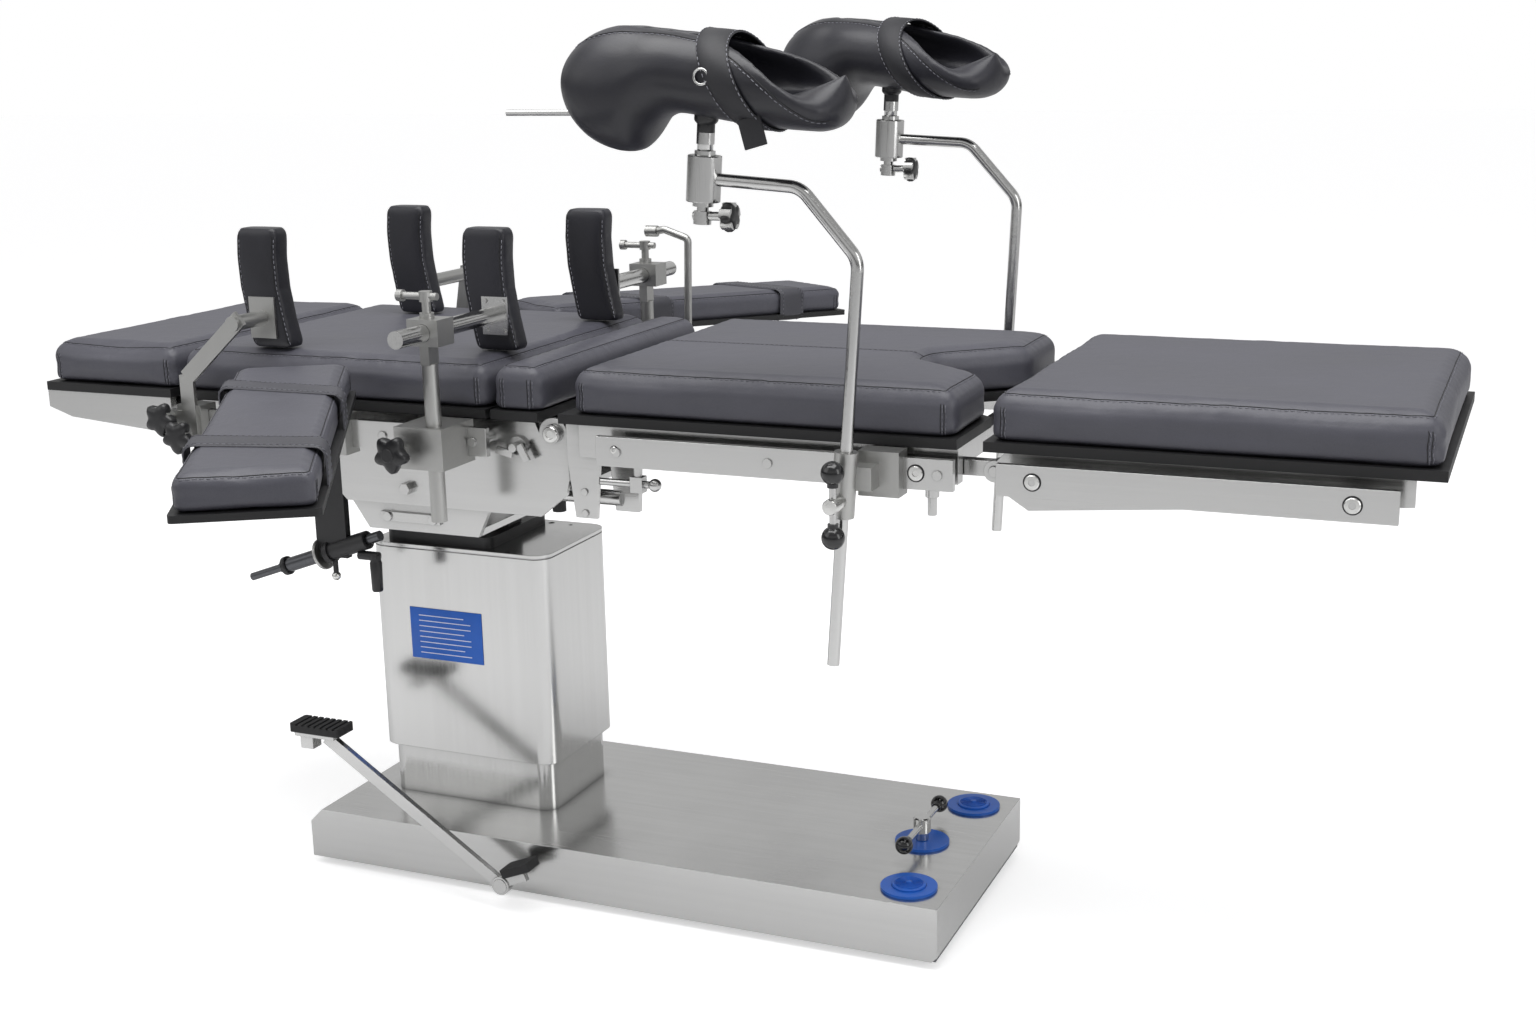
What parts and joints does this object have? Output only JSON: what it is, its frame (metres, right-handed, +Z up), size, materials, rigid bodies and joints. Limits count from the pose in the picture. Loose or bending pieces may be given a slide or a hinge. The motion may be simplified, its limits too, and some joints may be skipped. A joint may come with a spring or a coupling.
{
  "type": "operating table",
  "caption": "Column operating table: sectioned padded top on a steel base, with arm boards, shoulder and body supports and knee crutches on its side rails.",
  "frame": {"origin": "on the floor under the middle of the tabletop", "axes": "+X to the leg end of the tabletop, +Z up, +Y to the far side"},
  "size_m": [2.038, 1.7982, 1.2923],
  "materials": {
    "base_cover": "brushed",
    "base_frame": "coated casting",
    "floor_feet": "ribbed",
    "lower_shroud": "brushed",
    "lift_cylinder": "brushed",
    "disc_collars": "blue moulded",
    "foot_button_front": "blue moulded",
    "foot_button_rear": "blue moulded",
    "lock_handle": "black coated",
    "pump_lever": "brushed",
    "pump_pads": "ribbed",
    "upper_shroud": "brushed",
    "lift_ram": "polished",
    "pivot_block": "black coated",
    "saddle": "brushed",
    "main_frame": "brushed",
    "side_plates": "brushed",
    "back_plate": "black laminate board",
    "back_pad": "dark grey leatherette over foam",
    "back_rails": "brushed",
    "support_clamps": "brushed",
    "drive_shaft": "brushed",
    "drive_bracket": "black coated",
    "bridge_plate": "black laminate board",
    "bridge_pad": "dark grey leatherette over foam",
    "head_frame": "brushed",
    "head_plate": "black laminate board",
    "head_pad": "dark grey leatherette over foam",
    "seat_frame": "brushed",
    "seat_plate": "black laminate board",
    "seat_pad": "dark grey leatherette over foam",
    "seat_rails": "brushed",
    "leg_clamps": "brushed",
    "leg_frame": "brushed",
    "leg_plate": "black laminate board",
    "leg_pad": "dark grey leatherette over foam",
    "arm_board_near": "black laminate board",
    "arm_pad_near": "dark grey leatherette over foam",
    "shoulder_bar_near": "brushed",
    "shoulder_pad_near": "near black moulded foam skin",
    "body_post_near": "brushed",
    "body_arm_near": "brushed",
    "body_pad_near": "near black moulded foam skin",
    "body_knob_near": "moulded black",
    "leg_pole_near": "brushed",
    "crutch_stem_near": "brushed",
    "crutch_shell_near": "near black moulded foam skin",
    "leg_lever_near": "black coated",
    "arm_board_far": "black laminate board",
    "arm_pad_far": "dark grey leatherette over foam",
    "shoulder_bar_far": "brushed",
    "shoulder_pad_far": "near black moulded foam skin",
    "body_post_far": "brushed",
    "body_arm_far": "brushed",
    "body_pad_far": "near black moulded foam skin",
    "body_knob_far": "moulded black",
    "leg_pole_far": "brushed",
    "crutch_stem_far": "brushed",
    "crutch_shell_far": "near black moulded foam skin",
    "leg_lever_far": "black coated"
  },
  "bodies": {
    "base": {"base_cover": "base_cover", "base_frame": "base_frame", "floor_feet": "floor_feet", "lower_shroud": "lower_shroud", "lift_cylinder": "lift_cylinder", "disc_collars": "disc_collars"},
    "foot_button_front": {"foot_button_front": "foot_button_front"},
    "foot_button_rear": {"foot_button_rear": "foot_button_rear"},
    "lock_handle": {"lock_handle": "lock_handle"},
    "pump": {"pump_lever": "pump_lever", "pump_pads": "pump_pads"},
    "column": {"upper_shroud": "upper_shroud", "lift_ram": "lift_ram", "pivot_block": "pivot_block"},
    "saddle": {"saddle": "saddle"},
    "main": {"main_frame": "main_frame", "side_plates": "side_plates", "back_plate": "back_plate", "back_pad": "back_pad", "back_rails": "back_rails", "support_clamps": "support_clamps", "drive_bracket": "drive_bracket"},
    "drive_shaft": {"drive_shaft": "drive_shaft"},
    "bridge": {"bridge_plate": "bridge_plate", "bridge_pad": "bridge_pad"},
    "head": {"head_frame": "head_frame", "head_plate": "head_plate", "head_pad": "head_pad"},
    "seat": {"seat_frame": "seat_frame", "seat_plate": "seat_plate", "seat_pad": "seat_pad", "seat_rails": "seat_rails", "leg_clamps": "leg_clamps"},
    "leg": {"leg_frame": "leg_frame", "leg_plate": "leg_plate", "leg_pad": "leg_pad"},
    "arm_near": {"arm_board_near": "arm_board_near", "arm_pad_near": "arm_pad_near"},
    "shoulder_near": {"shoulder_bar_near": "shoulder_bar_near", "shoulder_pad_near": "shoulder_pad_near"},
    "body_post_near": {"body_post_near": "body_post_near"},
    "body_arm_near": {"body_arm_near": "body_arm_near", "body_pad_near": "body_pad_near"},
    "body_knob_near": {"body_knob_near": "body_knob_near"},
    "leg_pole_near": {"leg_pole_near": "leg_pole_near"},
    "crutch_near": {"crutch_stem_near": "crutch_stem_near", "crutch_shell_near": "crutch_shell_near"},
    "leg_lever_near": {"leg_lever_near": "leg_lever_near"},
    "arm_far": {"arm_board_far": "arm_board_far", "arm_pad_far": "arm_pad_far"},
    "shoulder_far": {"shoulder_bar_far": "shoulder_bar_far", "shoulder_pad_far": "shoulder_pad_far"},
    "body_post_far": {"body_post_far": "body_post_far"},
    "body_arm_far": {"body_arm_far": "body_arm_far", "body_pad_far": "body_pad_far"},
    "body_knob_far": {"body_knob_far": "body_knob_far"},
    "leg_pole_far": {"leg_pole_far": "leg_pole_far"},
    "crutch_far": {"crutch_stem_far": "crutch_stem_far", "crutch_shell_far": "crutch_shell_far"},
    "leg_lever_far": {"leg_lever_far": "leg_lever_far"}
  },
  "joints": [
    {"name": "column_lift", "type": "slide", "parent": "base", "child": "column", "axis": [0, 0, 1], "range_m": [-0.07, 0.18]},
    {"name": "lateral_tilt", "type": "hinge", "parent": "column", "child": "saddle", "pos_m": [-0.406, 0, 0.54], "axis": [1, 0, 0], "range_deg": [-15, 15]},
    {"name": "long_tilt", "type": "hinge", "parent": "saddle", "child": "main", "pos_m": [-0.389, 0, 0.632], "axis": [0, -1, 0], "range_deg": [-20, 20]},
    {"name": "drive_shaft_turn", "type": "hinge", "parent": "main", "child": "drive_shaft", "pos_m": [-0.553, -0.19, 0.514], "axis": [0.9421, 0, 0.3355], "continuous": true},
    {"name": "bridge_lift", "type": "slide", "parent": "main", "child": "bridge", "axis": [0, 0, 1], "range_m": [0, 0.11]},
    {"name": "head_fold", "type": "hinge", "parent": "main", "child": "head", "pos_m": [-0.77, 0, 0.738], "axis": [0, -1, 0], "range_deg": [-5, 90]},
    {"name": "seat_fold", "type": "hinge", "parent": "main", "child": "seat", "pos_m": [-0.147, 0, 0.726], "axis": [0, 1, 0], "range_deg": [-20, 30]},
    {"name": "leg_fold", "type": "hinge", "parent": "seat", "child": "leg", "pos_m": [0.484, 0, 0.718], "axis": [0, 1, 0], "range_deg": [0, 90]},
    {"name": "arm_swing_near", "type": "hinge", "parent": "main", "child": "arm_near", "pos_m": [-0.475, -0.378, 0.745], "axis": [0, 0, 1], "range_deg": [-45, 30]},
    {"name": "arm_swing_far", "type": "hinge", "parent": "main", "child": "arm_far", "pos_m": [-0.475, 0.378, 0.745], "axis": [0, 0, 1], "range_deg": [-30, 45]},
    {"name": "shoulder_slide_near", "type": "slide", "parent": "main", "child": "shoulder_near", "axis": [1, 0, 0], "range_m": [-0.005, 0.045]},
    {"name": "shoulder_slide_far", "type": "slide", "parent": "main", "child": "shoulder_far", "axis": [1, 0, 0], "range_m": [-0.02, 0.04]},
    {"name": "leg_pole_slide_near", "type": "slide", "parent": "seat", "child": "leg_pole_near", "axis": [0.0732, 0, 0.9973], "range_m": [-0.1, 0.06]},
    {"name": "leg_pole_slide_far", "type": "slide", "parent": "seat", "child": "leg_pole_far", "axis": [0.0523, 0, 0.9986], "range_m": [-0.1, 0.06]},
    {"name": "pump_press", "type": "hinge", "parent": "base", "child": "pump", "pos_m": [-0.262, -0.252, 0.04], "axis": [0, -1, 0], "range_deg": [0, 20], "stiffness_Nm_per_rad": 20, "springref_deg": -9.17},
    {"name": "lock_turn", "type": "hinge", "parent": "base", "child": "lock_handle", "pos_m": [0.308, 0, 0.128], "axis": [0, 0, 1], "range_deg": [-45, 45]},
    {"name": "body_post_slide_near", "type": "slide", "parent": "main", "child": "body_post_near", "axis": [0, 0, 1], "range_m": [0, 0.08]},
    {"name": "body_arm_slide_near", "type": "slide", "parent": "body_post_near", "child": "body_arm_near", "axis": [0, 1, 0], "range_m": [-0.06, 0.06]},
    {"name": "body_knob_turn_near", "type": "hinge", "parent": "main", "child": "body_knob_near", "pos_m": [-0.318, -0.3663, 0.714], "axis": [0, 1, 0], "range_deg": [-170, 170]},
    {"name": "crutch_swivel_near", "type": "hinge", "parent": "leg_pole_near", "child": "crutch_near", "pos_m": [0.13461, -0.33, 1.08231], "axis": [0.0732, 0, 0.9973], "range_deg": [-25, 25]},
    {"name": "leg_lever_turn_near", "type": "hinge", "parent": "seat", "child": "leg_lever_near", "pos_m": [0.314, -0.3533, 0.689], "axis": [0, 1, 0], "range_deg": [-60, 60]},
    {"name": "body_post_slide_far", "type": "slide", "parent": "main", "child": "body_post_far", "axis": [0, 0, 1], "range_m": [0, 0.08]},
    {"name": "body_arm_slide_far", "type": "slide", "parent": "body_post_far", "child": "body_arm_far", "axis": [0, 1, 0], "range_m": [-0.06, 0.06]},
    {"name": "body_knob_turn_far", "type": "hinge", "parent": "main", "child": "body_knob_far", "pos_m": [-0.32, 0.3663, 0.714], "axis": [0, 1, 0], "range_deg": [-170, 170]},
    {"name": "crutch_swivel_far", "type": "hinge", "parent": "leg_pole_far", "child": "crutch_far", "pos_m": [0.14518, 0.33, 1.09642], "axis": [0.0523, 0, 0.9986], "range_deg": [-25, 25]},
    {"name": "leg_lever_turn_far", "type": "hinge", "parent": "seat", "child": "leg_lever_far", "pos_m": [0.332, 0.3533, 0.707], "axis": [0, 1, 0], "range_deg": [-60, 60]},
    {"name": "foot_button_press_front", "type": "slide", "parent": "base", "child": "foot_button_front", "axis": [0, 0, -1], "range_m": [0, 0.005], "stiffness_N_per_m": 2500, "springref_m": -0.003},
    {"name": "foot_button_press_rear", "type": "slide", "parent": "base", "child": "foot_button_rear", "axis": [0, 0, -1], "range_m": [0, 0.005], "stiffness_N_per_m": 2500, "springref_m": -0.003}
  ]
}
